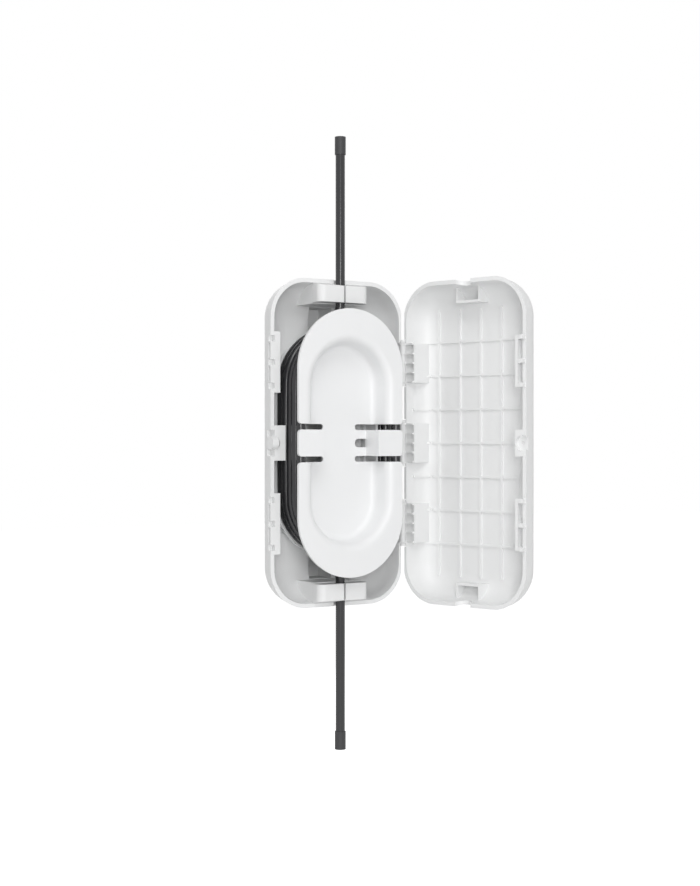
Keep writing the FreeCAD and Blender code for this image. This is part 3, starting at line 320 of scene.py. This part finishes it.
class ENCLOSURE_OT_cable_tails(bpy.types.Operator):
    """Runs the taut cable out of both glands to its end caps"""

    bl_idname = "enclosure.cable_tails"
    bl_label = "Cable Tails"

    def execute(self, context):
        settings = cable_settings()
        for name, end in (("top", 1), ("bottom", -1)):
            tail = cable_curve(f"taut_cable_{name}")
            start = Vector((0, CABLE_Y, end * settings.gland_end))
            stop = Vector((0, CABLE_Y, end * settings.tail_end))
            smooth_spline(tail.data, [start, start.lerp(stop, 0.5), stop])
            tail.data.materials.append(jacket_material())
            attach(tail, "base")
            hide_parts(f"cable_tail_{name}")
        return {"FINISHED"}


class ENCLOSURE_OT_base_and_cover(bpy.types.Operator):
    """Gives base, cover and hinge pins their moulded finish"""

    bl_idname = "enclosure.base_and_cover"
    bl_label = "Base and Cover"

    def execute(self, context):
        settings = finish_settings()
        plastic = surface_material(
            "Moulded plastic", settings.box_colour, shade=0.985, roughness=0.46, polish=0.36,
            grain_scale=settings.grain_scale, grain_depth=0.12)
        for name in ("base_shell", "cover_shell", "hinge_pin_upper", "hinge_pin_middle", "hinge_pin_lower"):
            dress(name, plastic)
        return {"FINISHED"}


class ENCLOSURE_OT_reel(bpy.types.Operator):
    """Gives the reel its smoother moulded finish"""

    bl_idname = "enclosure.reel"
    bl_label = "Reel"

    def execute(self, context):
        settings = finish_settings()
        plastic = surface_material(
            "Reel plastic", settings.reel_colour, shade=0.985, roughness=0.42, polish=0.32,
            grain_scale=settings.grain_scale, grain_depth=0.08)
        for name in ("reel_front", "reel_back"):
            dress(name, plastic)
        return {"FINISHED"}


class ENCLOSURE_OT_glands(bpy.types.Operator):
    """Gives glands and cable caps their rubber finish"""

    bl_idname = "enclosure.glands"
    bl_label = "Glands and Caps"

    def execute(self, context):
        settings = finish_settings()
        rubber = surface_material(
            "Gland rubber", settings.gland_colour, shade=0.97, roughness=0.62, polish=0.52, grain_scale=1800.0,
            grain_depth=0.2)
        for name in ("gland_top", "gland_bottom"):
            dress(name, rubber)
        cap = surface_material(
            "Cap rubber", settings.cap_colour, shade=1.4, roughness=0.6, polish=0.5, grain_scale=1200.0,
            grain_depth=0.3)
        for name in ("cable_cap_top", "cable_cap_bottom"):
            dress(name, cap)
        return {"FINISHED"}


def make_camera():
    # a level camera whose focal length is given in pixels of the photograph's height
    settings = stage_settings()
    data = bpy.data.cameras.new("Photo camera")
    data.sensor_fit = "VERTICAL"
    data.sensor_height = SENSOR_SIDE
    data.lens = settings.focal_pixels / IMAGE_HEIGHT * SENSOR_SIDE
    camera = bpy.data.objects.new("Photo camera", data)
    camera.location = (settings.eye_x, settings.eye_y, 0.0)
    camera.rotation_euler = (math.pi / 2, 0.0, settings.azimuth)
    bpy.context.scene.collection.objects.link(camera)
    bpy.context.scene.camera = camera


def make_area_light(name, place, size, power):
    # a round soft lamp that faces the part
    data = bpy.data.lights.new(name, "AREA")
    data.shape = "DISK"
    data.size = size
    data.energy = power
    light = bpy.data.objects.new(name, data)
    light.location = place
    light.rotation_euler = (Vector(LAMP_AIM) - Vector(place)).to_track_quat("-Z", "Y").to_euler()
    bpy.context.scene.collection.objects.link(light)


def shows_white(tree, place):
    # one where the camera, a reflection or a clear piece sees the surface directly
    path = add_node(tree, "ShaderNodeLightPath", place)
    either = add_node(tree, "ShaderNodeMath", (place[0] + 1, place[1]))
    either.operation = "MAXIMUM"
    tree.links.new(path.outputs["Is Camera Ray"], either.inputs[0])
    tree.links.new(path.outputs["Is Glossy Ray"], either.inputs[1])
    both = add_node(tree, "ShaderNodeMath", (place[0] + 2, place[1]))
    both.operation = "MAXIMUM"
    tree.links.new(either.outputs[0], both.inputs[0])
    tree.links.new(path.outputs["Is Transmission Ray"], both.inputs[1])
    return both.outputs[0]


def make_sky():
    # even white light, which shows as full white behind the part
    settings = stage_settings()
    world = bpy.data.worlds.new("Studio white")
    world.use_nodes = True
    tree = world.node_tree
    background = tree.nodes["Background"]
    background.inputs["Color"].default_value = (1.0, 1.0, 1.0, 1.0)
    level = add_node(tree, "ShaderNodeMapRange", (-1, 0), To_Min=settings.sky_level, To_Max=1.0)
    tree.links.new(shows_white(tree, (-4, 0)), level.inputs["Value"])
    tree.links.new(level.outputs["Result"], background.inputs["Strength"])
    bpy.context.scene.world = world


def make_floor():
    # pale under the part, where it takes the shadow, and fading to the white of the background
    level = stage_settings().floor_level
    mesh = bpy.data.meshes.new("Studio floor")
    signs = ((-1, -1), (1, -1), (1, 1), (-1, 1))
    corners = [(x * FLOOR_REACH, y * FLOOR_REACH, level) for x, y in signs]
    mesh.from_pydata(corners, [], [(0, 1, 2, 3)])
    floor = bpy.data.objects.new("Studio floor", mesh)
    bpy.context.scene.collection.objects.link(floor)
    material = bpy.data.materials.new("Pale floor")
    material.use_nodes = True
    tree = material.node_tree
    shader = tree.nodes["Principled BSDF"]
    shader.inputs["Base Color"].default_value = (FLOOR_GREY, FLOOR_GREY, FLOOR_GREY, 1.0)
    shader.inputs["Roughness"].default_value = 0.9
    shader.inputs["Specular IOR Level"].default_value = 0.0
    shader.inputs["Emission Color"].default_value = (1.0, 1.0, 1.0, 1.0)
    place = add_node(tree, "ShaderNodeTexCoord", (-6, 0))
    distance = add_node(tree, "ShaderNodeVectorMath", (-5, 0))
    distance.operation = "LENGTH"
    tree.links.new(place.outputs["Object"], distance.inputs[0])
    fade = add_node(tree, "ShaderNodeMapRange", (-4, 0), From_Min=FADE_START, From_Max=FADE_END)
    fade.interpolation_type = "SMOOTHSTEP"
    tree.links.new(distance.outputs["Value"], fade.inputs["Value"])
    glow = add_node(tree, "ShaderNodeMapRange", (-2, -1), To_Min=GLOW_UNDER_PART, To_Max=GLOW_FAR_OFF)
    tree.links.new(fade.outputs["Result"], glow.inputs["Value"])
    lift = add_node(tree, "ShaderNodeMath", (-1, -2))
    lift.operation = "MULTIPLY"
    tree.links.new(shows_white(tree, (-4, -2)), lift.inputs[0])
    tree.links.new(glow.outputs["Result"], lift.inputs[1])
    tree.links.new(lift.outputs[0], shader.inputs["Emission Strength"])
    mesh.materials.append(material)


class ENCLOSURE_OT_camera(bpy.types.Operator):
    """Sets up the camera at the photograph's angle"""

    bl_idname = "enclosure.camera"
    bl_label = "Camera"

    def execute(self, context):
        make_camera()
        return {"FINISHED"}


class ENCLOSURE_OT_stage(bpy.types.Operator):
    """Sets up the pale floor and the soft studio light"""

    bl_idname = "enclosure.stage"
    bl_label = "Stage"

    def execute(self, context):
        settings = stage_settings()
        context.scene.view_settings.view_transform = "Standard"
        make_sky()
        make_floor()
        make_area_light("Key light", (-0.5, -1.1, 0.1), 0.4, settings.key_power)
        make_area_light("Top light", (-0.5, -0.95, 0.95), 0.7, settings.top_power)
        make_area_light("Back light", (0.8, 1.4, 0.3), 1.2, settings.back_power)
        return {"FINISHED"}


PIECES = ("camera", "wound_cable", "cable_tails", "base_and_cover", "reel", "glands", "stage")


class ENCLOSURE_PT_panel(bpy.types.Panel):
    """Lists the pieces and their settings"""

    bl_idname = "ENCLOSURE_PT_panel"
    bl_label = "Fibre Cable Enclosure"
    bl_space_type = "VIEW_3D"
    bl_region_type = "UI"
    bl_category = "Enclosure"

    def draw(self, context):
        for piece in PIECES:
            self.layout.operator(f"enclosure.{piece}")
        for settings in (cable_settings(), finish_settings(), stage_settings()):
            box = self.layout.box()
            for name in settings.__annotations__:
                box.prop(settings, name)


CLASSES = (
    CableSettings, FinishSettings, StageSettings,
    ENCLOSURE_OT_camera, ENCLOSURE_OT_wound_cable, ENCLOSURE_OT_cable_tails, ENCLOSURE_OT_base_and_cover,
    ENCLOSURE_OT_reel, ENCLOSURE_OT_glands, ENCLOSURE_OT_stage, ENCLOSURE_PT_panel,
)


def register():
    for entry in CLASSES:
        bpy.utils.register_class(entry)
    bpy.types.Scene.enclosure_cable = PointerProperty(type=CableSettings)
    bpy.types.Scene.enclosure_finish = PointerProperty(type=FinishSettings)
    bpy.types.Scene.enclosure_stage = PointerProperty(type=StageSettings)


def unregister():
    del bpy.types.Scene.enclosure_stage
    del bpy.types.Scene.enclosure_finish
    del bpy.types.Scene.enclosure_cable
    for entry in reversed(CLASSES):
        bpy.utils.unregister_class(entry)


def main():
    register()
    for piece in PIECES:
        getattr(bpy.ops.enclosure, piece)()


if __name__ == "__main__":
    main()
